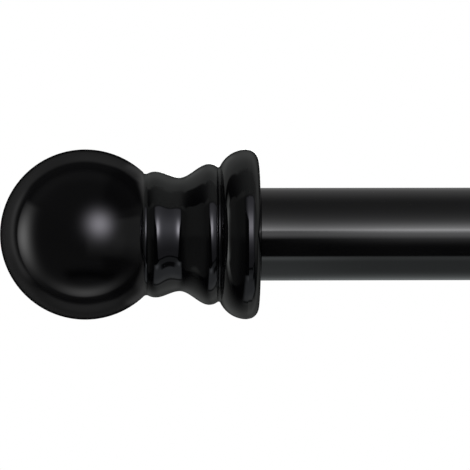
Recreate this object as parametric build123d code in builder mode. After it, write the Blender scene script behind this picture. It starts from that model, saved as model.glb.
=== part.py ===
from build123d import *
import math
import os

# Extendable curtain rod: two telescoping steel tubes with a turned ball finial pushed into each end.
# The rod lies along X. The origin is the middle of the outer tube, and the left finial is at minus X.
# All sizes are in millimetres.

# Tubes
outer_tube_diameter = 25.4
outer_tube_wall = 0.7
outer_tube_length = 700.0
inner_tube_wall = 0.7
inner_tube_length = 532.0
inner_tube_shown = 120.0
telescope_space = 0.9
tube_deburr = 0.2

# Mouth bush: the collar that the inner tube slides through
bush_length = 32.0
bush_push_gap = 0.05
bush_slide_gap = 0.15
bush_lead = 0.4
bush_lip_thickness = 1.5
bush_lip_round = 0.6
bush_flare = 0.4

# Guide: the fluted collar on the buried end of the inner tube
guide_collar_length = 28.0
guide_slide_gap = 0.25
guide_chamfer = 0.4
guide_spigot_length = 20.0
guide_push_gap = 0.05
guide_spigot_lead = 1.0
guide_wall = 1.8
guide_flutes = 8
guide_flute_width = 4.0
guide_flute_depth = 0.5

# Finial, from its back face outward to the pole of the ball
flange_diameter = 46.4
flange_rim_height = 3.2
flange_rim_length = 3.3
flange_bevel_length = 1.1
flange_bevel_drop = 0.2
flange_ovolo_length = 7.4
rear_bead_diameter = 38.5
rear_bead_length = 2.8
rear_groove_depth = 1.2
rear_groove_round = 0.5
rear_cove_length = 8.0
waist_diameter = 31.0
front_cove_length = 6.55
front_bead_diameter = 34.4
front_bead_length = 2.65
front_groove_depth = 0.9
front_groove_round = 1.1
ball_diameter = 46.4
tube_end_gap = 0.3

# Finial plug: a split sleeve that springs into the tube
plug_length = 26.0
plug_web = 5.0
plug_wall = 1.8
plug_body_gap = 0.5
plug_lead = 1.2
plug_ridges = 3
plug_ridge_gap = 0.1
plug_ridge_width = 2.4
plug_ridge_crest = 0.4
plug_ridge_pitch = 5.0
plug_first_ridge = 6.0
plug_slot_pairs = 2
plug_slot_width = 2.6
plug_slot_root = 8.0
plug_boss_diameter = 16.0
plug_boss_height = 1.9
boss_side_gap = 0.1
boss_end_gap = 0.1

# Plug screw
screw_diameter = 2.9
screw_length = 25.0
screw_tip_length = 3.0
screw_head_diameter = 7.0
screw_head_height = 2.4
screw_head_side = 0.9
screw_pilot_gap = 0.05
screw_pass_gap = 0.25
screw_end_gap = 2.0
cross_length = 3.8
cross_width = 0.9
cross_depth = 1.3

# Sizes that follow from the ones above
outer_radius = outer_tube_diameter / 2
outer_bore_radius = outer_radius - outer_tube_wall
inner_radius = outer_bore_radius - telescope_space
inner_bore_radius = inner_radius - inner_tube_wall
outer_left = -outer_tube_length / 2
outer_right = outer_tube_length / 2
inner_right = outer_right + inner_tube_shown
inner_left = inner_right - inner_tube_length

os.makedirs("parts", exist_ok=True)


def profile_plane(end_x, outward):
    """Plane through the rod's axis: x runs outward from a tube's end and y is the radius."""
    return Plane(origin=(end_x, 0, 0), x_dir=(outward, 0, 0), z_dir=(0, -outward, 0))


def section_plane(x, facing):
    """Plane across the rod's axis that faces along it."""
    return Plane(origin=(x, 0, 0), x_dir=(0, 1, 0), z_dir=(facing, 0, 0))


def save(piece, label):
    """Name a finished piece and write it to its own file."""
    piece.part.label = label
    export_step(piece.part, f"parts/{label}.step")


# Outer tube, deburred at both ends
with BuildPart() as outer_tube:
    with BuildSketch(section_plane(outer_left, 1)):
        Circle(outer_radius)
        Circle(outer_bore_radius, mode=Mode.SUBTRACT)
    extrude(amount=outer_tube_length)
    chamfer(outer_tube.edges().filter_by(GeomType.CIRCLE), tube_deburr)
save(outer_tube, "outer_tube")

# Inner tube, which slides in the outer one
with BuildPart() as inner_tube:
    with BuildSketch(section_plane(inner_left, 1)):
        Circle(inner_radius)
        Circle(inner_bore_radius, mode=Mode.SUBTRACT)
    extrude(amount=inner_tube_length)
    chamfer(inner_tube.edges().filter_by(GeomType.CIRCLE), tube_deburr)
save(inner_tube, "inner_tube")

# Mouth bush: a sleeve inside the outer tube's right end, with a rounded lip flush with the tube
bush_radius = outer_bore_radius - bush_push_gap
bush_bore_radius = inner_radius + bush_slide_gap
with BuildPart() as mouth_bush:
    with BuildSketch(profile_plane(outer_right, 1)):
        with BuildLine():
            Polyline(
                (bush_lip_thickness, outer_radius - bush_lip_round),
                (bush_lip_thickness, bush_bore_radius + bush_flare),
                (bush_lip_thickness - bush_flare, bush_bore_radius),
                (-bush_length, bush_bore_radius),
                (-bush_length, bush_radius - bush_lead),
                (bush_lead - bush_length, bush_radius),
                (0, bush_radius),
                (0, outer_radius),
                (bush_lip_thickness - bush_lip_round, outer_radius),
            )
            RadiusArc(
                (bush_lip_thickness - bush_lip_round, outer_radius),
                (bush_lip_thickness, outer_radius - bush_lip_round),
                bush_lip_round,
            )
        make_face()
    revolve(axis=Axis.X)
save(mouth_bush, "mouth_bush")

# Inner guide: a hollow spigot in the inner tube's buried end and a fluted collar that runs in the outer bore
guide_radius = outer_bore_radius - guide_slide_gap
guide_spigot_radius = inner_bore_radius - guide_push_gap
guide_bore_radius = guide_spigot_radius - guide_wall
with BuildPart() as inner_guide:
    with BuildSketch(profile_plane(inner_left, -1)):
        with BuildLine():
            Polyline(
                (-guide_spigot_length, guide_bore_radius),
                (-guide_spigot_length, guide_spigot_radius - guide_spigot_lead),
                (guide_spigot_lead - guide_spigot_length, guide_spigot_radius),
                (0, guide_spigot_radius),
                (0, guide_radius - guide_chamfer),
                (guide_chamfer, guide_radius),
                (guide_collar_length - guide_chamfer, guide_radius),
                (guide_collar_length, guide_radius - guide_chamfer),
                (guide_collar_length, guide_bore_radius),
                close=True,
            )
        make_face()
    revolve(axis=Axis.X)
    with BuildSketch(section_plane(inner_left, -1)):
        with PolarLocations(guide_radius, guide_flutes):
            Rectangle(2 * guide_flute_depth, guide_flute_width)
    extrude(amount=guide_collar_length, mode=Mode.SUBTRACT)
save(inner_guide, "inner_guide")

# Stations of the finial's profile: distance out from its back face
flange_bevel_x = flange_rim_length - flange_bevel_length
rear_groove_x = flange_rim_length + flange_ovolo_length
rear_bead_x = rear_groove_x + rear_bead_length
waist_x = rear_bead_x + rear_cove_length
front_bead_x = waist_x + front_cove_length
front_groove_x = front_bead_x + front_bead_length

# Radii of the finial's profile at those stations
flange_radius = flange_diameter / 2
flange_bevel_radius = flange_radius - flange_bevel_drop
rear_bead_radius = rear_bead_diameter / 2
rear_groove_radius = rear_bead_radius - rear_groove_depth
waist_radius = waist_diameter / 2
front_bead_radius = front_bead_diameter / 2
front_groove_radius = front_bead_radius - front_groove_depth
ball_radius = ball_diameter / 2
ball_x = front_groove_x + math.sqrt(ball_radius**2 - front_groove_radius**2)
ball_sweep = 180 - math.degrees(math.asin(front_groove_radius / ball_radius))

# Each groove's sharp bottom, and the radius that softens it
finial_grooves = (
    ((rear_groove_x, rear_groove_radius), rear_groove_round),
    ((front_groove_x, front_groove_radius), front_groove_round),
)

# Screw and its holes
screw_radius = screw_diameter / 2
screw_head_radius = screw_head_diameter / 2
screw_tip_x = screw_length - plug_web
boss_radius = plug_boss_diameter / 2


def cove(start, end):
    """Smooth hollow between two points of the profile that leaves both of them level."""
    third = (end[0] - start[0]) / 3
    return Bezier(start, (start[0] + third, start[1]), (end[0] - third, end[1]), end)


# Each end: its name, the tube's end, the way out along X and the bore that the plug goes into
rod_ends = (
    ("left", outer_left, -1, outer_bore_radius),
    ("right", inner_right, 1, inner_bore_radius),
)

for side, tube_end_x, outward, bore_radius in rod_ends:
    back_x = tube_end_x + outward * tube_end_gap
    turning = profile_plane(back_x, outward)

    # Finial: one turned form, a flange with a bevelled rim, a waisted neck between two beads, and a ball
    with BuildPart() as finial:
        with BuildSketch(turning) as half_section:
            with BuildLine():
                Polyline((ball_x + ball_radius, 0), (0, 0), (0, flange_radius - flange_rim_height))
                TangentArc(
                    (0, flange_radius - flange_rim_height),
                    (flange_bevel_x, flange_bevel_radius),
                    tangent=(0, 1),
                )
                Line((flange_bevel_x, flange_bevel_radius), (flange_rim_length, flange_radius))
                TangentArc(
                    (flange_rim_length, flange_radius),
                    (rear_groove_x, rear_groove_radius),
                    tangent=(1, 0),
                )
                TangentArc(
                    (rear_bead_x, rear_bead_radius),
                    (rear_groove_x, rear_groove_radius),
                    tangent=(-1, 0),
                )
                cove((rear_bead_x, rear_bead_radius), (waist_x, waist_radius))
                cove((waist_x, waist_radius), (front_bead_x, front_bead_radius))
                TangentArc(
                    (front_bead_x, front_bead_radius),
                    (front_groove_x, front_groove_radius),
                    tangent=(1, 0),
                )
                CenterArc((ball_x, 0), ball_radius, 0, ball_sweep)
            make_face()
            for groove, groove_round in finial_grooves:
                fillet(half_section.vertices().sort_by_distance(groove)[0], groove_round)
        revolve(axis=Axis.X)
        with Locations(section_plane(back_x, -outward)):
            Hole(boss_radius + boss_side_gap, depth=plug_boss_height + boss_end_gap)
            Hole(screw_radius + screw_pilot_gap, depth=screw_tip_x + screw_end_gap)
    save(finial, f"{side}_finial")

    # Plug: a boss in the finial's back, a web for the screw, and a ridged sleeve split into spring legs
    plug_radius = bore_radius - plug_body_gap
    ridge_radius = bore_radius - plug_ridge_gap
    sleeve_bore_radius = plug_radius - plug_wall
    with BuildPart() as plug:
        with BuildSketch(turning):
            with BuildLine():
                Polyline(
                    (plug_boss_height, 0),
                    (plug_boss_height, boss_radius),
                    (0, boss_radius),
                    (0, plug_radius),
                    (plug_lead - plug_length, plug_radius),
                    (-plug_length, plug_radius - plug_lead),
                    (-plug_length, sleeve_bore_radius),
                    (-plug_web, sleeve_bore_radius),
                    (-plug_web, 0),
                    close=True,
                )
            make_face()
        revolve(axis=Axis.X)
        for ridge in range(plug_ridges):
            ridge_x = -plug_first_ridge - ridge * plug_ridge_pitch
            with BuildSketch(turning):
                with BuildLine():
                    Polyline(
                        (ridge_x, plug_radius - plug_wall / 2),
                        (ridge_x, ridge_radius),
                        (ridge_x - plug_ridge_crest, ridge_radius),
                        (ridge_x - plug_ridge_width, plug_radius),
                        (ridge_x - plug_ridge_width, plug_radius - plug_wall / 2),
                        close=True,
                    )
                make_face()
            revolve(axis=Axis.X)
        for pair in range(plug_slot_pairs):
            with BuildSketch(turning.rotated((180 * pair / plug_slot_pairs, 0, 0))):
                with Locations((-(plug_slot_root + plug_length + plug_slot_width) / 2, 0)):
                    SlotOverall(plug_length + plug_slot_width - plug_slot_root, plug_slot_width)
            extrude(amount=bore_radius, both=True, mode=Mode.SUBTRACT)
        with Locations(section_plane(back_x, -outward)):
            Hole(screw_radius + screw_pass_gap)
    save(plug, f"{side}_finial_plug")

    # Plug screw: a pan head with a cross recess, on the plug's web, and a pointed shank in the finial
    with BuildPart() as screw:
        with BuildSketch(turning):
            with BuildLine():
                Polyline(
                    (-plug_web - screw_head_height, 0),
                    (screw_tip_x, 0),
                    (screw_tip_x - screw_tip_length, screw_radius),
                    (-plug_web, screw_radius),
                    (-plug_web, screw_head_radius),
                    (-plug_web - screw_head_side, screw_head_radius),
                )
                TangentArc(
                    (-plug_web - screw_head_height, 0),
                    (-plug_web - screw_head_side, screw_head_radius),
                    tangent=(0, 1),
                )
            make_face()
        revolve(axis=Axis.X)
        with BuildSketch(section_plane(back_x - outward * (plug_web + screw_head_height), outward)):
            Rectangle(cross_length, cross_width)
            Rectangle(cross_width, cross_length)
        extrude(amount=cross_depth, mode=Mode.SUBTRACT)
    save(screw, f"{side}_plug_screw")
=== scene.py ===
import math

import bmesh
import bpy
import numpy as np
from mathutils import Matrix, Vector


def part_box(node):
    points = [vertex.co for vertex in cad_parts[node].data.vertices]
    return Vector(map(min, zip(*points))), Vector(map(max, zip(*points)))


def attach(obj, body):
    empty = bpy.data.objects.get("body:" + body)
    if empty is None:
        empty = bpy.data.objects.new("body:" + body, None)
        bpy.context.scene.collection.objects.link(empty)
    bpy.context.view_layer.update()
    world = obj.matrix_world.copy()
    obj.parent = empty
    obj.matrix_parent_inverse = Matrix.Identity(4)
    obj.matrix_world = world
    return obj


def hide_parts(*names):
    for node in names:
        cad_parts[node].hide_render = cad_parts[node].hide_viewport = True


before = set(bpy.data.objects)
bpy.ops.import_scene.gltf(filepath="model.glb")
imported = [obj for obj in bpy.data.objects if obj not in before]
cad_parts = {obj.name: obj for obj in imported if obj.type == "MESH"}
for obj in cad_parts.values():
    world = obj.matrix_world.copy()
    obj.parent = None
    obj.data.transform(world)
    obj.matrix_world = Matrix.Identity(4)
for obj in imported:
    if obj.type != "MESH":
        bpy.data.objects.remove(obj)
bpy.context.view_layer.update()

# Extendable curtain rod: gloss-black ball finials on two telescoping black tubes.
# The rod lies along X, in metres. The finial that the camera looks at is at minus X, on the outer tube.

MM = 0.001

# Finial, measured outward from its back face
FLANGE_RADIUS = 23.2 * MM
RIM_HEIGHT = 3.2 * MM
RIM_LENGTH = 3.3 * MM
BEVEL_LENGTH = 1.1 * MM
BEVEL_DROP = 0.2 * MM
OVOLO_LENGTH = 7.4 * MM
REAR_BEAD_RADIUS = 19.25 * MM
REAR_BEAD_LENGTH = 2.8 * MM
REAR_GROOVE_DEPTH = 1.2 * MM
REAR_GROOVE_ROUND = 0.5 * MM
REAR_COVE_LENGTH = 8.0 * MM
WAIST_RADIUS = 15.5 * MM
FRONT_COVE_LENGTH = 6.55 * MM
FRONT_BEAD_RADIUS = 17.2 * MM
FRONT_BEAD_LENGTH = 2.65 * MM
FRONT_GROOVE_DEPTH = 0.9 * MM
FRONT_GROOVE_ROUND = 1.1 * MM
BALL_RADIUS = 23.2 * MM
RECESS_RADIUS = 8.1 * MM
RECESS_DEPTH = 2.0 * MM
PILOT_RADIUS = 1.5 * MM
PILOT_DEPTH = 22.0 * MM

# Tubes and the bush in the outer tube's mouth
TUBE_WALL = 0.7 * MM
TUBE_DEBURR = 0.2 * MM
BUSH_PUSH_GAP = 0.05 * MM
BUSH_SLIDE_GAP = 0.15 * MM
BUSH_LEAD = 0.4 * MM
BUSH_LIP_THICKNESS = 1.5 * MM
BUSH_LIP_ROUND = 0.6 * MM
BUSH_FLARE = 0.4 * MM

# Mesh density: faces round a piece, and points along each curve of a profile
FINIAL_SIDES = 224
RIM_POINTS = 24
OVOLO_POINTS = 36
GROOVE_POINTS = 14
REAR_BEAD_POINTS = 16
REAR_COVE_POINTS = 40
FRONT_COVE_POINTS = 36
FRONT_BEAD_POINTS = 14
BALL_POINTS = 120
TUBE_SIDES = 192
TUBE_RINGS = 36
LIP_POINTS = 12
ROOM_SIDES = 64
ROOM_RINGS = 33
DRUM_SIDES = 128
FLOOR_SIDES = 96
SHARP_ANGLE = math.radians(26)
MERGE_DISTANCE = 0.001 * MM
CREASE_WIDTH = 0.02 * MM


# Profiles and surfaces of revolution

def crest_circle(crest, end):
    """Circle with its top at the crest that passes through the end point, as its centre and radius.

    The radius is (run squared + drop squared) / (2 x drop), and the centre lies that far under the crest.
    """
    run, drop = end[0] - crest[0], crest[1] - end[1]
    radius = (run**2 + drop**2) / (2 * drop)
    return np.array([crest[0], crest[1] - radius]), radius


def groove_arc(first, second, softening, count):
    """Arc that softens the groove between two circles: it touches both from outside.

    Its centre is where the two circles, each grown by the softening radius, cross on the outer side.
    """
    (centre, radius), (other, other_radius) = first, second
    reach, other_reach = radius + softening, other_radius + softening
    apart = np.hypot(*(other - centre))
    toward = (other - centre) / apart
    outward = np.array([-toward[1], toward[0]])
    run = (apart**2 + reach**2 - other_reach**2) / (2 * apart)
    middle = centre + run * toward + math.sqrt(reach**2 - run**2) * outward
    start = centre + (middle - centre) * radius / reach
    end = other + (middle - other) * other_radius / other_reach
    return arc(middle, start, end, count)


def arc(centre, start, end, count):
    """Arc round a centre from one point to another, the short way, by even steps of angle."""
    centre = np.asarray(centre)
    first, last = start - centre, end - centre
    sweep = math.atan2(first[0] * last[1] - first[1] * last[0], first @ last)
    angle = math.atan2(first[1], first[0]) + np.linspace(0, sweep, count)
    return centre + np.hypot(*first) * np.stack([np.cos(angle), np.sin(angle)], axis=1)


def cove(start, end, count):
    """Hollow that is level at both ends: the radius eases by 3t squared - 2t cubed as x runs across it."""
    t = np.linspace(0, 1, count)
    along = start[0] + (end[0] - start[0]) * t
    return np.stack([along, start[1] + (end[1] - start[1]) * t**2 * (3 - 2 * t)], axis=1)


def round_arc(centre, radius, start_angle, end_angle, count):
    """Arc of a circle: centre + radius x (cos a, sin a), with a run evenly between the two angles."""
    angle = np.linspace(start_angle, end_angle, count)
    return np.array(centre) + radius * np.stack([np.cos(angle), np.sin(angle)], axis=1)


def add_piece(name, points, faces):
    """A mesh object at the origin, shaded smooth, with corners kept sharp past SHARP_ANGLE."""
    mesh = bpy.data.meshes.new(name)
    mesh.from_pydata(points.tolist(), [], faces)
    mesh.polygons.foreach_set("use_smooth", np.ones(len(mesh.polygons), dtype=bool))
    mesh.set_sharp_from_angle(angle=SHARP_ANGLE)
    mesh.update()
    piece = bpy.data.objects.new(name, mesh)
    bpy.context.scene.collection.objects.link(piece)
    return piece


def revolved(name, profile, sides, closed):
    """Surface of revolution about X: the profile point (x, r) at angle t is (x, -r sin t, r cos t).

    A closed profile is a loop clear of the axis. An open one starts and ends on the axis, at one
    point each. The profile runs towards plus X along its outer side, so that the faces point outwards.
    """
    x, r = np.asarray(profile, dtype=float).T
    turn = np.linspace(0, 2 * np.pi, sides, endpoint=False)
    grid_x = np.repeat(x[:, None], sides, axis=1)
    grid = np.stack([grid_x, -np.outer(r, np.sin(turn)), np.outer(r, np.cos(turn))], axis=-1)
    ring = np.arange(sides)
    beside = np.roll(ring, -1)
    if closed:
        start = np.arange(len(x))[:, None] * sides
        near, far = start, np.roll(start, -1, axis=0)
        points, fans = grid.reshape(-1, 3), []
    else:
        start = 1 + np.arange(len(x) - 2)[:, None] * sides
        near, far = start[:-1], start[1:]
        points = np.concatenate([grid[0, :1], grid[1:-1].reshape(-1, 3), grid[-1, :1]])
        last = len(points) - 1
        first_fan = np.stack([np.zeros(sides, dtype=int), 1 + beside, 1 + ring], axis=-1)
        last_fan = np.stack([start[-1] + ring, start[-1] + beside, np.full(sides, last)], axis=-1)
        fans = first_fan.tolist() + last_fan.tolist()
    quads = np.stack([near + ring, near + beside, far + beside, far + ring], axis=-1).reshape(-1, 4)
    return add_piece(name, points, quads.tolist() + fans)


# The rod's pieces

def finial_profiles():
    """Half sections of a finial's neck and of its ball, as (distance out from the back, radius).

    The neck runs from the screw hole round the flange and both beads to the front groove.
    The ball runs from that groove to its pole. They meet, closed by flat discs, where the
    groove's soft bottom touches the ball.
    """
    crest = np.array([RIM_LENGTH, FLANGE_RADIUS])
    rear_groove = np.array([RIM_LENGTH + OVOLO_LENGTH, REAR_BEAD_RADIUS - REAR_GROOVE_DEPTH])
    rear_bead = np.array([rear_groove[0] + REAR_BEAD_LENGTH, REAR_BEAD_RADIUS])
    waist = np.array([rear_bead[0] + REAR_COVE_LENGTH, WAIST_RADIUS])
    front_bead = np.array([waist[0] + FRONT_COVE_LENGTH, FRONT_BEAD_RADIUS])
    front_groove = np.array([front_bead[0] + FRONT_BEAD_LENGTH, FRONT_BEAD_RADIUS - FRONT_GROOVE_DEPTH])
    bevel = crest - (BEVEL_LENGTH, BEVEL_DROP)
    crease = CREASE_WIDTH * (crest - bevel) / np.hypot(*(crest - bevel))
    rim_foot = np.array([0, FLANGE_RADIUS - RIM_HEIGHT])
    rim_rise = bevel[1] - rim_foot[1]
    rim_radius = (bevel[0]**2 + rim_rise**2) / (2 * bevel[0])
    ball = np.array([front_groove[0] + math.sqrt(BALL_RADIUS**2 - front_groove[1]**2), 0]), BALL_RADIUS
    ovolo = crest_circle(crest, rear_groove)
    rear_round = crest_circle(rear_bead, rear_groove)
    front_round = crest_circle(front_bead, front_groove)
    rear_valley = groove_arc(ovolo, rear_round, REAR_GROOVE_ROUND, GROOVE_POINTS)
    front_valley = groove_arc(front_round, ball, FRONT_GROOVE_ROUND, GROOVE_POINTS)
    hole = np.array([
        (PILOT_DEPTH, 0), (PILOT_DEPTH, PILOT_RADIUS), (RECESS_DEPTH, PILOT_RADIUS),
        (RECESS_DEPTH, RECESS_RADIUS), (0, RECESS_RADIUS),
    ])
    neck = np.concatenate([
        hole,
        arc((rim_radius, rim_foot[1]), rim_foot, bevel, RIM_POINTS),
        [bevel + crease, crest - crease, crest, crest + (CREASE_WIDTH, 0)],
        arc(ovolo[0], crest, rear_valley[0], OVOLO_POINTS)[1:],
        rear_valley[1:],
        arc(rear_round[0], rear_valley[-1], rear_bead, REAR_BEAD_POINTS)[1:],
        cove(rear_bead, waist, REAR_COVE_POINTS)[1:],
        cove(waist, front_bead, FRONT_COVE_POINTS)[1:],
        arc(front_round[0], front_bead, front_valley[0], FRONT_BEAD_POINTS)[1:],
        front_valley[1:],
        [(front_valley[-1, 0], 0)],
    ])
    ball_side = arc(ball[0], front_valley[-1], ball[0] + (BALL_RADIUS, 0), BALL_POINTS)
    return neck, np.concatenate([[(front_valley[-1, 0], 0)], ball_side])


def make_finial(side, outward):
    """A finial's neck and ball turned from finial_profiles, with its back face where the frame has it."""
    low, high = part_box(f"{side}_finial")
    back = low[0] if outward > 0 else high[0]
    pieces = []
    for form, section in zip(("neck", "ball"), finial_profiles()):
        profile = section * (outward, 1) + (back, 0)
        pieces.append(revolved(f"{side}_finial_{form}", profile[::outward], FINIAL_SIDES, closed=False))
    return pieces


def make_tube(node):
    """A tube: the loop of its wall's section, deburred at both ends, carried round the axis."""
    low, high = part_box(node)
    outer, inner, edge = high[2], high[2] - TUBE_WALL, TUBE_DEBURR
    along = np.linspace(low[0] + edge, high[0] - edge, TUBE_RINGS)
    outside = np.stack([along, np.full(TUBE_RINGS, outer)], axis=1)
    inside = np.stack([along[::-1], np.full(TUBE_RINGS, inner)], axis=1)
    right_end = [(high[0], outer - edge), (high[0], inner + edge)]
    left_end = [(low[0], inner + edge), (low[0], outer - edge)]
    wall = np.concatenate([outside, right_end, inside, left_end])
    return revolved(f"{node}_drawn", wall, TUBE_SIDES, closed=True)


def make_bush():
    """The mouth bush: the loop of its sleeve and rounded lip carried round the axis."""
    low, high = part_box("mouth_bush")
    lip, inner_tube = high[2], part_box("inner_tube")[1][2]
    sleeve, bore = lip - TUBE_WALL - BUSH_PUSH_GAP, inner_tube + BUSH_SLIDE_GAP
    seat = high[0] - BUSH_LIP_THICKNESS
    lip_round = (high[0] - BUSH_LIP_ROUND, lip - BUSH_LIP_ROUND)
    section = np.concatenate([
        [(low[0], bore), (low[0], sleeve - BUSH_LEAD), (low[0] + BUSH_LEAD, sleeve)],
        [(seat, sleeve), (seat, lip)],
        round_arc(lip_round, BUSH_LIP_ROUND, math.pi / 2, 0, LIP_POINTS),
        [(high[0], bore + BUSH_FLARE), (high[0] - BUSH_FLARE, bore)],
    ])
    return revolved("mouth_bush_moulded", section, TUBE_SIDES, closed=True)


def smoothed(node, word):
    """A copy of a node's triangles, joined at their shared points so that round faces shade smoothly."""
    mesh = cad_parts[node].data.copy()
    mesh.name = f"{node}_{word}"
    work = bmesh.new()
    work.from_mesh(mesh)
    bmesh.ops.remove_doubles(work, verts=work.verts, dist=MERGE_DISTANCE)
    work.to_mesh(mesh)
    work.free()
    mesh.polygons.foreach_set("use_smooth", np.ones(len(mesh.polygons), dtype=bool))
    mesh.set_sharp_from_angle(angle=SHARP_ANGLE)
    piece = bpy.data.objects.new(f"{node}_{word}", mesh)
    bpy.context.scene.collection.objects.link(piece)
    return piece


# Shader maths

class Tone:
    """A value in a node tree. Arithmetic on it adds Math nodes, and node() adds any other node."""

    def __init__(self, tree, socket=None):
        self.tree = tree
        self.socket = socket

    def node(self, kind, settings=None, inputs=None, output=0):
        """Add a node, make its settings, then set or link its sockets. Gives one of its outputs."""
        made = self.tree.nodes.new(kind)
        for name, value in (settings or {}).items():
            setattr(made, name, value)
        for name, value in (inputs or {}).items():
            if isinstance(value, Tone):
                self.tree.links.new(value.socket, made.inputs[name])
            else:
                made.inputs[name].default_value = value
        return Tone(self.tree, made.outputs[output]) if made.outputs else None

    def math(self, operation, first, second=0.0):
        return self.node("ShaderNodeMath", {"operation": operation}, {0: first, 1: second})

    def __add__(self, other):
        return self.math("ADD", self, other)

    def __sub__(self, other):
        return self.math("SUBTRACT", self, other)

    def __rsub__(self, other):
        return self.math("SUBTRACT", other, self)

    def __mul__(self, other):
        return self.math("MULTIPLY", self, other)

    def __truediv__(self, other):
        return self.math("DIVIDE", self, other)

    def __neg__(self):
        return self.math("MULTIPLY", self, -1.0)

    __radd__ = __add__
    __rmul__ = __mul__

    def above(self, floor):
        """The larger of this value and another."""
        return self.math("MAXIMUM", self, floor)

    def exp(self):
        return self.math("EXPONENT", self)

    def bell(self, centre, width):
        """Bell curve: e to the minus half of ((value - centre) / width) squared."""
        off = (self - centre) / width
        return (off * off * -0.5).exp()

    def step(self, low, high):
        """Smooth step from 0 at low to 1 at high."""
        ease = {"interpolation_type": "SMOOTHSTEP"}
        ends = {"Value": self, "From Min": low, "From Max": high}
        return self.node("ShaderNodeMapRange", ease, ends)

    def tint(self, colour):
        """A colour times this value."""
        scaled = {"Vector": colour, "Scale": self}
        return self.node("ShaderNodeVectorMath", {"operation": "SCALE"}, scaled)

    def blend(self, first, second):
        """Colour mixed from the first to the second by this value."""
        return self.node("ShaderNodeMix", {"data_type": "RGBA"}, {0: self, 6: first, 7: second}, 2)

    def parts(self):
        """The three values of a vector."""
        split = self.node("ShaderNodeSeparateXYZ", inputs={0: self})
        return [Tone(self.tree, output) for output in split.socket.node.outputs]


def plus(first, second):
    """Sum of two colours."""
    return first.node("ShaderNodeVectorMath", {"operation": "ADD"}, {0: first, 1: second})


def noise(place, patches, detail, squeeze=(1, 1, 1)):
    """Soft noise over a place, so many patches a metre, squeezed along each axis."""
    squeezed = place.node("ShaderNodeVectorMath", {"operation": "MULTIPLY"}, {0: place, 1: squeeze})
    pattern = {"Vector": squeezed, "Scale": patches, "Detail": detail}
    return place.node("ShaderNodeTexNoise", inputs=pattern)


def new_material(name, constants):
    """A material, its Principled shader with some constants set, and the place on the piece."""
    material = bpy.data.materials.new(name)
    material.use_nodes = True
    shader = material.node_tree.nodes["Principled BSDF"]
    for socket, value in constants.items():
        shader.inputs[socket].default_value = value
    place = Tone(material.node_tree).node("ShaderNodeTexCoord", output="Object")
    return material, shader, place


def dress(shader, base, roughness, height, depth):
    """Link a shader's colour and roughness, and the relief of its surface, so many metres deep."""
    bump = height.node("ShaderNodeBump", inputs={"Strength": 1.0, "Distance": depth, "Height": height})
    for socket, value in (("Base Color", base), ("Roughness", roughness), ("Normal", bump)):
        value.tree.links.new(value.socket, shader.inputs[socket])


# Finishes: the darkest and palest shade of each, and how deep its relief is

LACQUER_SHADES = (0.0008, 0.0008, 0.001, 1), (0.0022, 0.0022, 0.0026, 1)
PAINT_SHADES = (0.0015, 0.0015, 0.0017, 1), (0.0035, 0.0035, 0.0038, 1)
BUSH_SHADES = (0.014, 0.014, 0.015, 1), (0.026, 0.026, 0.027, 1)
HIDDEN_SHADES = (0.022, 0.022, 0.023, 1), (0.038, 0.038, 0.039, 1)
ZINC_SHADES = (0.52, 0.53, 0.55, 1), (0.70, 0.70, 0.71, 1)
LACQUER_RELIEF = 0.0015 * MM
PAINT_RELIEF = 0.002 * MM
NYLON_RELIEF = 0.012 * MM
ZINC_RELIEF = 0.003 * MM
GLOSS_IOR = 1.5
NYLON_IOR = 1.53


def finial_lacquer():
    """Gloss black lacquer: faint clouding, a slight haze and orange peel about 1.5 mm across."""
    material, shader, place = new_material("finial_lacquer", {"IOR": GLOSS_IOR})
    cloud = noise(place, patches=70, detail=3)
    peel = noise(place, patches=650, detail=1)
    dress(shader, cloud.blend(*LACQUER_SHADES), 0.035 + 0.03 * cloud, peel, LACQUER_RELIEF)
    return material


def tube_paint():
    """Gloss black paint on drawn steel: orange peel, and faint lines along the tube."""
    material, shader, place = new_material("tube_paint", {"IOR": GLOSS_IOR})
    cloud = noise(place, patches=80, detail=3)
    lines = noise(place, patches=900, detail=2, squeeze=(0.02, 1, 1))
    peel = noise(place, patches=700, detail=1)
    dress(shader, cloud.blend(*PAINT_SHADES), 0.05 + 0.05 * lines, peel + 0.6 * lines, PAINT_RELIEF)
    return material


def black_nylon(name, shades):
    """Moulded black nylon: a fine grain, mottled gloss and a little colour variation."""
    material, shader, place = new_material(name, {"IOR": NYLON_IOR})
    grain = noise(place, patches=4000, detail=3)
    mottle = noise(place, patches=160, detail=3)
    dress(shader, mottle.blend(*shades), 0.36 + 0.16 * mottle, grain, NYLON_RELIEF)
    return material


def zinc_steel():
    """Bright zinc plate: metal with fine turning lines round the axis and cloudy gloss."""
    material, shader, place = new_material("zinc_steel", {"Metallic": 1.0})
    cloud = noise(place, patches=900, detail=3)
    lines = noise(place, patches=6000, detail=2, squeeze=(1, 0.05, 0.05))
    dress(shader, cloud.blend(*ZINC_SHADES), 0.2 + 0.16 * cloud, lines, ZINC_RELIEF)
    return material


# Build the rod

outer_tube = make_tube("outer_tube")
inner_tube = make_tube("inner_tube")
mouth_bush = make_bush()
inner_guide = smoothed("inner_guide", "moulded")
finials = {side: make_finial(side, outward) for side, outward in (("left", -1), ("right", 1))}
plugs = {side: smoothed(f"{side}_finial_plug", "moulded") for side in finials}
screws = {side: smoothed(f"{side}_plug_screw", "plated") for side in finials}

lacquer = finial_lacquer()
paint = tube_paint()
bush_nylon = black_nylon("bush_nylon", BUSH_SHADES)
hidden_nylon = black_nylon("hidden_nylon", HIDDEN_SHADES)
zinc = zinc_steel()

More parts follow.
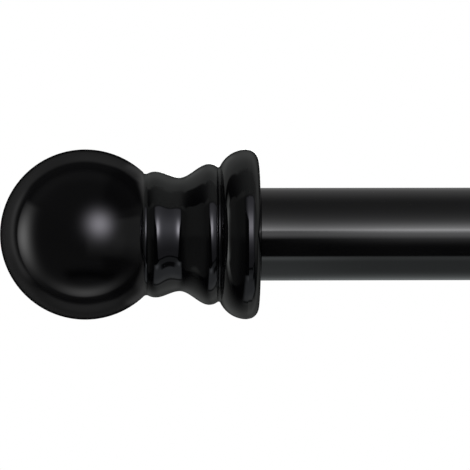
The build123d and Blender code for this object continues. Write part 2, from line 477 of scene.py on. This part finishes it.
# Each piece: the body it rides on, the node it stands for, its slot and its finish
rod = [
    (outer_tube, "outer", "outer_tube", "painted_tube", paint),
    (mouth_bush, "outer", "mouth_bush", "bush_plastic", bush_nylon),
    (inner_tube, "inner", "inner_tube", "painted_tube", paint),
    (inner_guide, "inner", "inner_guide", "guide_plastic", hidden_nylon),
]
for side in finials:
    rod += [
        (finials[side][0], f"{side}_end", f"{side}_finial", "finial_lacquer", lacquer),
        (finials[side][1], f"{side}_end", f"{side}_finial", "finial_lacquer", lacquer),
        (plugs[side], f"{side}_end", f"{side}_finial_plug", "plug_plastic", hidden_nylon),
        (screws[side], f"{side}_end", f"{side}_plug_screw", "screw_steel", zinc),
    ]
for piece, body, node, slot, finish in rod:
    piece.data.materials.clear()
    piece.data.materials.append(finish)
    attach(piece, body)
    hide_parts(node)


# Camera, as the photograph was taken: level, square on to the neck and turned a little to the tube

FRAME_WIDTH = 128.34 * MM
CAMERA_AIM = (-356.68 * MM, 0, -0.19 * MM)
CAMERA_YAW = math.radians(-1.75)
CAMERA_ROLL = math.radians(0.1)
CAMERA_DISTANCE = 0.8
SENSOR_WIDTH = 36.0
CAMERA_REACH = 200.0

camera_data = bpy.data.cameras.new("camera")
camera_data.sensor_width = SENSOR_WIDTH
camera_data.lens = SENSOR_WIDTH * CAMERA_DISTANCE / FRAME_WIDTH
camera_data.clip_end = CAMERA_REACH
camera = bpy.data.objects.new("camera", camera_data)
bpy.context.scene.collection.objects.link(camera)
camera.location = (
    CAMERA_AIM[0] + CAMERA_DISTANCE * math.sin(CAMERA_YAW),
    CAMERA_AIM[1] - CAMERA_DISTANCE * math.cos(CAMERA_YAW),
    CAMERA_AIM[2],
)
camera.rotation_euler = (math.pi / 2, CAMERA_ROLL, CAMERA_YAW)
bpy.context.scene.camera = camera


# Surroundings that the gloss reflects: a room round the balls, one round the necks, a drum round the tubes.
# A lamp's or box's heading is in degrees, to the right and up, and its spread is how softly it fades.

BALL_ROOM_RADIUS = 20.0
NECK_ROOM_RADIUS = 30.0
DRUM_RADIUS = 1.2
DRUM_LENGTH = 12.0
GLOW = (1.0, 0.97, 1.08)
PANEL_GLOW = (1.0, 1.0, 1.14)
STRIP_GLOW = (1.0, 1.0, 1.02)
NEUTRAL = (1.0, 1.0, 1.0)
WALL_TINT = (0.98, 1.01, 0.99)
TABLE_TINT = (0.95, 1.0, 1.08)
DRUM_TABLE_TINT = (0.94, 1.01, 1.02)
DEGREE = math.pi / 180
LAMP_HEADING = (20.5, 13.5)
LAMP_SPREAD = 0.037
REAR_BOX_HEADING = (132, 4)
REAR_BOX_SPREAD = 0.03
REAR_LIGHT_HEADING = (177, 4)
REAR_LIGHT_SPREAD = 0.0015


def emission_material(name, see_through):
    """An emission material for a surround, the socket of its light, and the place on the surround."""
    material = bpy.data.materials.new(name)
    material.use_nodes = True
    material.cycles.emission_sampling = "NONE"
    tree = material.node_tree
    tree.nodes.clear()
    start = Tone(tree)
    light = start.node("ShaderNodeEmission")
    shown = light
    if see_through:
        clear = start.node("ShaderNodeBsdfTransparent")
        shown = start.node("ShaderNodeAddShader", inputs={0: light, 1: clear})
    start.node("ShaderNodeOutputMaterial", inputs={"Surface": shown})
    return material, light.socket.node.inputs["Color"], start.node("ShaderNodeTexCoord", output="Object")


def reflected_only(surround, material, pieces):
    """Show a surround in the gloss of some pieces and nowhere else."""
    surround.data.materials.append(material)
    surround.visible_camera = False
    surround.visible_diffuse = False
    surround.visible_transmission = False
    surround.visible_shadow = False
    receivers = bpy.data.collections.new(f"{surround.name}_receivers")
    for piece in pieces:
        receivers.objects.link(piece)
    surround.light_linking.receiver_collection = receivers


def heading(right_degrees, up_degrees):
    """Unit direction in the room: so far round to the right of the camera, and so far up."""
    round_angle, lift = right_degrees * DEGREE, up_degrees * DEGREE
    flat = math.cos(lift)
    return flat * math.sin(round_angle), -flat * math.cos(round_angle), math.sin(lift)


class Sky:
    """Directions in a room: right, away from the camera, up and near, and three angles in degrees.

    The turn is round to the right, the lift is upwards, and the pitch is round the rod from the
    camera, over the top.
    """

    def __init__(self, place):
        self.ray = place.node("ShaderNodeVectorMath", {"operation": "NORMALIZE"}, {0: place})
        self.right, self.away, self.up = self.ray.parts()
        self.near = -self.away
        self.turn = place.math("ARCTAN2", self.right, self.near) / DEGREE
        self.lift = place.math("ARCSINE", self.up) / DEGREE
        self.pitch = place.math("ARCTAN2", self.up, self.near) / DEGREE

    def spot(self, towards, spread):
        """Soft round light: e to the minus (1 - cosine of the angle from its heading) / spread."""
        pair = {0: self.ray, 1: heading(*towards)}
        facing = self.ray.node("ShaderNodeVectorMath", {"operation": "DOT_PRODUCT"}, pair, "Value")
        return ((facing - 1) / spread).exp()


def make_room(name, radius, see_through, light, pieces):
    """A sphere round the finials whose light depends only on the direction seen."""
    room = revolved(name, round_arc((0, 0), radius, math.pi, 0, ROOM_RINGS), ROOM_SIDES, closed=False)
    room.location = CAMERA_AIM
    material, colour, place = emission_material(f"{name}_light", see_through)
    level = light(Sky(place))
    level.tree.links.new(level.socket, colour)
    reflected_only(room, material, pieces)


def ball_light(sky):
    """Lamp at the right above the camera, box at the left, sheet below in front, dim wall behind."""
    turn, lift = sky.turn, sky.lift
    right, away, up, near = sky.right, sky.away, sky.up, sky.near
    rise = up.above(-up)

    # Lamp, and what it lights beside and below it
    lamp = 4.4 * sky.spot(LAMP_HEADING, LAMP_SPREAD)
    beside = 0.15 * turn.step(35, 55) * turn.step(92, 80) * lift.step(-30, -5) * lift.step(22, 16)
    below = 0.11 * turn.step(-2, 8) * turn.step(62, 40) * lift.step(-34, -12) * lift.step(5, -8)

    # Sheet below, box at the left, and the dim room in front with a dark gap over the sheet
    sheet = 0.85 * near.bell(0.08, 0.11) * right.bell(0.0, 0.3)
    sheet = sheet * near.step(-0.09, -0.02) * up.step(-0.2, -0.5)
    left_box = 1.9 * near.bell(-0.01, 0.146) * up.bell(-0.04, 0.27) * right.step(0.0, -0.3)
    left_box = left_box * near.step(-0.255, -0.185) * up.step(0.54, 0.44)
    gap = lift.bell(-54, 6) * turn.step(-55, -25) * turn.step(78, 55)
    dim_side = right.step(0.25, 0.5) * rise.step(0.4, 0.55)
    front = 0.035 * away.step(0.97, 0.82) + 0.04 * away.step(0.2, 0.0)
    front = front + 0.02 * near.bell(0.08, 0.1) * up.step(0.0, 0.4)
    front = front * (1 - 0.95 * gap) * (1 - 0.6 * dim_side)

    # Wall behind: its edge, its dimmer parts, and the window, corner and box on it
    left_edge = (0.09 - 0.1 * up) * right.step(-0.6, -0.85)
    right_edge = 1.3 * (right - 0.6).above(0.0) - 0.06 * right.step(0.2, 0.45)
    edge = away + 0.12 * up.step(-0.4, -0.8) + left_edge + right_edge
    dim_top = 0.3 * right.bell(-0.35, 0.2) * up.step(0.5, 0.7)
    dim_foot = 0.4 * right.step(-0.5, -0.75) * up.step(-0.1, -0.35) + 0.55 * up.bell(-0.68, 0.12)
    wall = 0.135 * edge.step(0.38, 0.52) * away.step(0.96, 0.43) * (1 - dim_top) * (1 - dim_foot)
    right_wall = 0.09 * (right - 0.5 * rise).step(0.0, 0.08)
    right_wall = right_wall * away.step(0.5, 0.8) * away.step(0.99, 0.92)
    corner = 0.16 * edge.bell(0.5, 0.07) * right.step(-0.65, -0.85)
    window = (0.1 + 0.1 * up.step(0.0, 0.2)) * (right - 0.9 * rise).step(-0.05, 0.12)
    window = window * rise.step(0.25, 0.45) * edge.step(0.42, 0.54)
    rear_box = 1.5 * sky.spot(REAR_BOX_HEADING, REAR_BOX_SPREAD)
    plain = left_box + sheet + front + beside + below
    plain = plain + wall + right_wall + corner + window + rear_box
    return plus(lamp.tint(GLOW), plain.tint(NEUTRAL))


def neck_light(sky):
    """Lamp and panel at the right of the dark camera, sheet and box at the left, ceiling, table, back wall.

    The edges follow the rod: they are set by the pitch round it and by how far right the ray points.
    """
    right, pitch = sky.right, sky.pitch
    near, up = sky.near, sky.up

    # Lamp and panel in front, cut off by the dark camera
    camera_edge = right + 0.0024 * pitch + 0.0095 * (pitch - 11).above(0.0)
    dark_camera = camera_edge.step(0.17, 0.1)
    panel_top = pitch - 10 * right.above(0.0)
    lamp = (5.9 * pitch.bell(8, 8) + 2.0 * pitch.bell(21, 7)) * right.bell(0.22, 0.118)
    panel = 0.83 * pitch.bell(15, 16.5) + 0.17 + 0.13 * pitch.step(-35, -8) + 0.14 * pitch.step(15, 45)
    panel = panel * (1 - 0.22 * right.step(0.35, 0.7) * pitch.step(-35, -8))
    beside = panel * right.step(-0.22, 0.05) * right.step(0.79, 0.69)
    in_front = panel_top.step(53.5, 49.5) * pitch.step(-49, -46) * (1 - dark_camera)

    # Sheet at the left
    high = pitch.step(-15, 5)
    high_sheet = high * (0.1 + 0.04 * right.step(-0.6, -0.9))
    low_sheet = (1 - high) * (0.025 + 0.065 * right.step(-0.35, -0.8))
    sheet_top = pitch - 100 * (-0.65 - right).above(0.0)
    sheet_foot = pitch - 70 * right
    sheet_ends = right.step(-0.1, -0.3) * sheet_top.step(64, 59) * sheet_foot.step(-51, -44)
    sheet = (high_sheet + low_sheet) * sheet_ends

    # Ceiling, and the back wall above the rod
    ceiling = (0.2 * right.step(-0.9, 0.1) + 0.02 * right.step(0.0, 0.3)) * panel_top.step(50.5, 56)
    wall_foot = pitch - 100 * (-0.45 - right).above(0.0)
    on_wall = wall_foot.step(94, 104)
    glare = 0.15 * right.step(-0.12, -0.3) * pitch.bell(158, 10)
    wall = (0.3 + 0.05 * right) * pitch.step(175, 125) + glare
    overhead = ceiling * (1 - on_wall) + wall * on_wall

    # Table with a dark slot, and the back wall under it, parted by a thin seam
    table_edge = pitch - 7 * right.step(0.05, 0.4)
    slot = right.step(0.36, 0.5) * pitch.step(-60, -63) * pitch.step(-75, -71.5)
    shoulder = 0.7 * pitch.bell(-62, 4) * right.bell(0.12, 0.13)
    top = 0.18 + 0.18 * pitch.step(-64, -74) + shoulder
    across = right.step(-0.25, -0.08) * right.step(0.68, 0.62) * table_edge.step(-56, -59)
    table = top * across * pitch.step(-115, -92) * (1 - 0.9 * slot)
    seam = 1 - 0.9 * pitch.bell(-105.2, 1.8) * right.step(-0.25, -0.1)
    low_left = 0.23 * right.step(0.1, -0.35) * pitch.step(-95, -150)
    low_right = 0.3 * right.step(-0.35, 0.25) * pitch.step(-85, -108)
    low_right = low_right * (1 - 0.6 * pitch.step(-130, -155))
    low_right = low_right * (1 - 0.85 * right.step(0.42, 0.58) * pitch.step(-120, -108))
    low_wall = (low_left + low_right) * pitch.step(-178, -155) * seam

    # Light at the far right, box at the far left where the cove doesn't face it, and a small rear light
    side = 0.35 * right.step(0.74, 0.86) * pitch.bell(10, 50)
    past_cove = right.step(-0.9, -0.95).above(near.step(0.05, -0.05)) * right.step(0.0, -0.3)
    hot = 2.1 * near.bell(-0.03, 0.08) * up.bell(-0.05, 0.26)
    spill = 0.35 * near.step(0.35, 0.0)
    box_ends = near.step(-0.255, -0.185) * up.step(0.54, 0.44) * sky.lift.step(-48, -20)
    box = (hot + spill) * box_ends * past_cove
    rear_light = 8.0 * sky.spot(REAR_LIGHT_HEADING, REAR_LIGHT_SPREAD)
    plain = sheet + overhead + low_wall + side + box + rear_light
    bright = plus((lamp * in_front).tint(GLOW), (beside * in_front).tint(PANEL_GLOW))
    return plus(plus(bright, plain.tint(WALL_TINT)), (table * seam).tint(TABLE_TINT))


def make_drum(pieces):
    """Drum round the tubes, whose light depends on the angle round the rod.

    A long soft strip hangs in front just above the rod, brighter to the right. Under it lies a dark
    gap and then a pale table. The upper half is grey, with a thin line of light straight behind.
    """
    end = DRUM_LENGTH / 2
    section = [(-end, 0), (-end, DRUM_RADIUS), (end, DRUM_RADIUS), (end, 0)]
    drum = revolved("tube_drum", section, DRUM_SIDES, closed=False)
    material, colour, place = emission_material("drum_light", see_through=True)
    along, away, up = place.parts()
    angle = place.math("ARCTAN2", up, -away) / DEGREE
    over = (angle - 10.5).above(0.0)
    by_flange = along.step(-0.22, -0.3)
    level = 3.8 + 0.9 * along.step(-0.275, -0.305)
    left_strip = level * (over / -13.7).exp() * (0.33 + 0.67 * angle.step(6.5, 10)) * angle.step(-14, 0)
    hot_line = 2.4 * angle.bell(8, 3) + 0.9 * angle.bell(13, 8) + 0.55 * angle.bell(-7, 9)
    ends = along.step(-3.0, -1.8) * along.step(3.0, 1.8)
    strip = (left_strip + hot_line * along.step(-0.295, -0.185)) * ends
    ceiling = angle.step(0, 50) * (0.14 + 0.21 * angle.step(82, 120) - 0.22 * angle.step(155, 175))
    far_side = angle.step(-100, -128)
    edge_light = (0.2 + 0.35 * by_flange) * angle.bell(-62, 4.5)
    top = 0.37 + 0.13 * by_flange * (1 - far_side) + 0.06 * (1 - by_flange) * far_side
    top = top + edge_light - 0.1 * angle.bell(-110, 16)
    table = top * angle.step(-55, -59) * angle.step(-180, -150)
    rear_line = 1.5 * up.bell(0.0, 0.07) * away.step(1.0, 1.1) * ends
    plain = ceiling + rear_line + 0.02
    light = plus(plus(strip.tint(STRIP_GLOW), plain.tint(NEUTRAL)), table.tint(DRUM_TABLE_TINT))
    light.tree.links.new(light.socket, colour)
    reflected_only(drum, material, pieces)


tube_pieces = [outer_tube, inner_tube, mouth_bush, inner_guide]
ball_pieces = [finials[side][1] for side in finials]
neck_pieces = [piece for piece, *_ in rod if piece not in tube_pieces + ball_pieces]
make_room("ball_room", BALL_ROOM_RADIUS, True, ball_light, ball_pieces)
make_room("neck_room", NECK_ROOM_RADIUS, False, neck_light, neck_pieces)
make_drum(tube_pieces)


# Floor, lamp and world

FLOOR_HEIGHT = -0.25
FLOOR_RADIUS = 2.3
FLOOR_FADE = (0.8, 2.2)
FLOOR_SHADE = (0.86, 0.86, 0.86, 1)
FLOOR_SURFACE = {"Base Color": FLOOR_SHADE, "Roughness": 0.9, "Specular IOR Level": 0.1}
WHITE = (1, 1, 1, 1)
WORLD_LEVEL = 0.45
LAMP_PLACE = (0.0, -0.3, 1.6)
LAMP_SIZE = (2.0, 1.2)
LAMP_POWER = 22.0


def make_floor():
    """Pale floor, a flat disc whose edge fades into the white around it."""
    turn = np.linspace(0, 2 * np.pi, FLOOR_SIDES, endpoint=False)
    points = np.stack([np.cos(turn), np.sin(turn), np.zeros(FLOOR_SIDES)], axis=1) * FLOOR_RADIUS
    floor = add_piece("floor", points + (0, 0, FLOOR_HEIGHT), [list(range(FLOOR_SIDES))])
    material, shader, place = new_material("floor_white", FLOOR_SURFACE)
    across, deep, _ = place.parts()
    reach = place.math("SQRT", across * across + deep * deep)
    solid = Tone(place.tree, shader.outputs[0])
    clear = place.node("ShaderNodeBsdfTransparent")
    mixed = {0: reach.step(*FLOOR_FADE), 1: solid, 2: clear}
    faded = place.node("ShaderNodeMixShader", inputs=mixed)
    place.tree.links.new(faded.socket, place.tree.nodes["Material Output"].inputs["Surface"])
    floor.data.materials.append(material)
    floor.visible_glossy = False


def make_world():
    """White to the eye and in reflections, and a plain grey level of light on everything else."""
    world = bpy.data.worlds.new("studio")
    bpy.context.scene.world = world
    world.use_nodes = True
    tree = world.node_tree
    tree.nodes.clear()
    start = Tone(tree)
    camera_ray, glossy_ray, clear_ray = [
        start.node("ShaderNodeLightPath", output=f"Is {kind} Ray")
        for kind in ("Camera", "Glossy", "Transmission")
    ]
    seen = camera_ray.above(glossy_ray).above(clear_ray)
    level = start.node("ShaderNodeBackground", inputs={"Color": WHITE, "Strength": WORLD_LEVEL})
    white = start.node("ShaderNodeBackground", inputs={"Color": WHITE, "Strength": 1.0})
    shown = start.node("ShaderNodeMixShader", inputs={0: seen, 1: level, 2: white})
    start.node("ShaderNodeOutputWorld", inputs={"Surface": shown})


def make_lamp():
    """A broad soft lamp overhead."""
    data = bpy.data.lights.new("overhead_lamp", "AREA")
    data.shape = "RECTANGLE"
    data.size, data.size_y = LAMP_SIZE
    data.energy = LAMP_POWER
    lamp = bpy.data.objects.new("overhead_lamp", data)
    bpy.context.scene.collection.objects.link(lamp)
    lamp.location = LAMP_PLACE
    lamp.visible_glossy = False


make_floor()
make_world()
make_lamp()
bpy.context.scene.view_settings.view_transform = "Standard"
